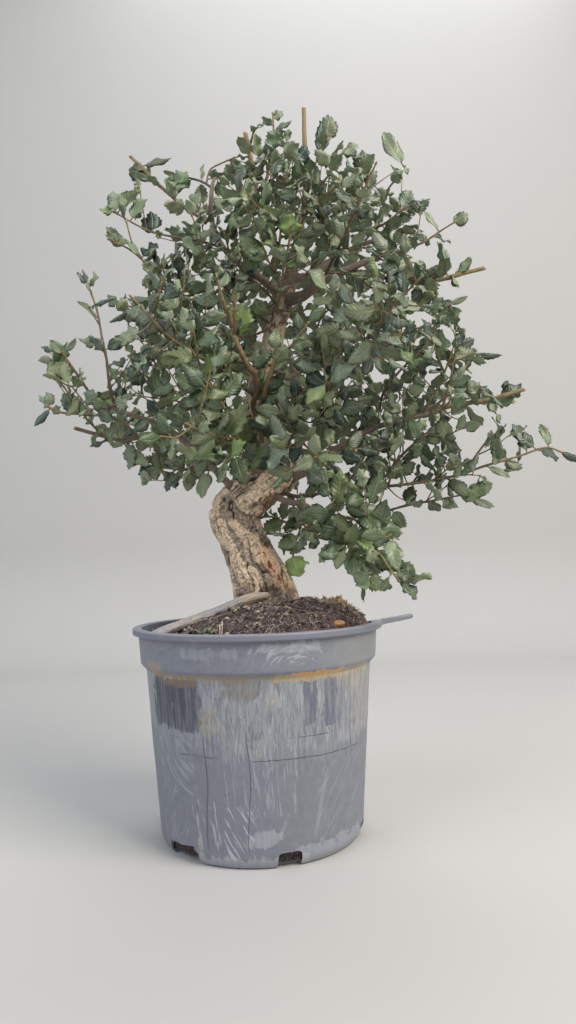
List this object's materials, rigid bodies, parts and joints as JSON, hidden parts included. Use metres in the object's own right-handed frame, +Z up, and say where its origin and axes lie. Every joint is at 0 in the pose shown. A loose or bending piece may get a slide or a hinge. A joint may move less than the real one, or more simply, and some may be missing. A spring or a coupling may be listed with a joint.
{
  "type": "cork oak bonsai",
  "caption": "Young cork oak bonsai with a knee-bent corky trunk, layered leafy shoots and a surface root, in a round nursery pot with a torn lip.",
  "frame": {"origin": "centre of the pot's flat underside", "axes": "+Z up along the pot's axis, +X to the viewer's right and +Y away from the front, which is the side with the long low shoot to the right"},
  "size_m": [0.4149, 0.2839, 0.607],
  "materials": {
    "pot": "weathered, with chalky streaks and stains",
    "soil": "fibrous peat and roots",
    "bark": "cracked cork plates, smoother on the limbs",
    "stone": "rough",
    "seedling": "soft green leaf",
    "spray": "leathery leaves on mauve-brown twigs"
  },
  "bodies": {
    "root": {"pot": "pot", "soil": "soil", "trunk": "bark", "pebble": "stone", "seedling": "seedling", "left_tip": "spray", "left_rise": "spray", "left_far": "spray", "left_stub": "spray", "left_under": "spray", "left_inner": "spray", "left_mid": "spray", "left_shelf": "spray", "left_high": "spray", "left_cut": "spray", "left_pale": "spray", "left_top": "spray", "top_tip": "spray", "top_stub": "spray", "top_fan": "spray", "top_dark": "spray", "top_olive": "spray", "high_pointed": "spray", "front_shoot": "spray", "right_thin": "spray", "right_arrow": "spray", "right_cut": "spray", "right_crest": "spray", "right_fan": "spray", "middle_tip": "spray", "middle_rise": "spray", "olive_rise": "spray", "right_rise": "spray", "right_end": "spray", "long_shoot": "spray", "low_shoot": "spray", "hanging": "spray", "under_trunk": "spray", "heart_left": "spray", "heart_top": "spray", "heart_low": "spray", "collar_left": "spray", "collar_right": "spray", "front_stub": "spray", "front_olive": "spray", "front_right": "spray", "inner_tip": "spray", "back_low_left": "spray", "back_left": "spray", "back_high_left": "spray", "back_top": "spray", "back_crown": "spray", "back_right_shoot": "spray", "back_low_right": "spray", "back_middle": "spray", "fore_left": "spray", "fore_right": "spray", "fore_high": "spray"}
  },
  "joints": []
}
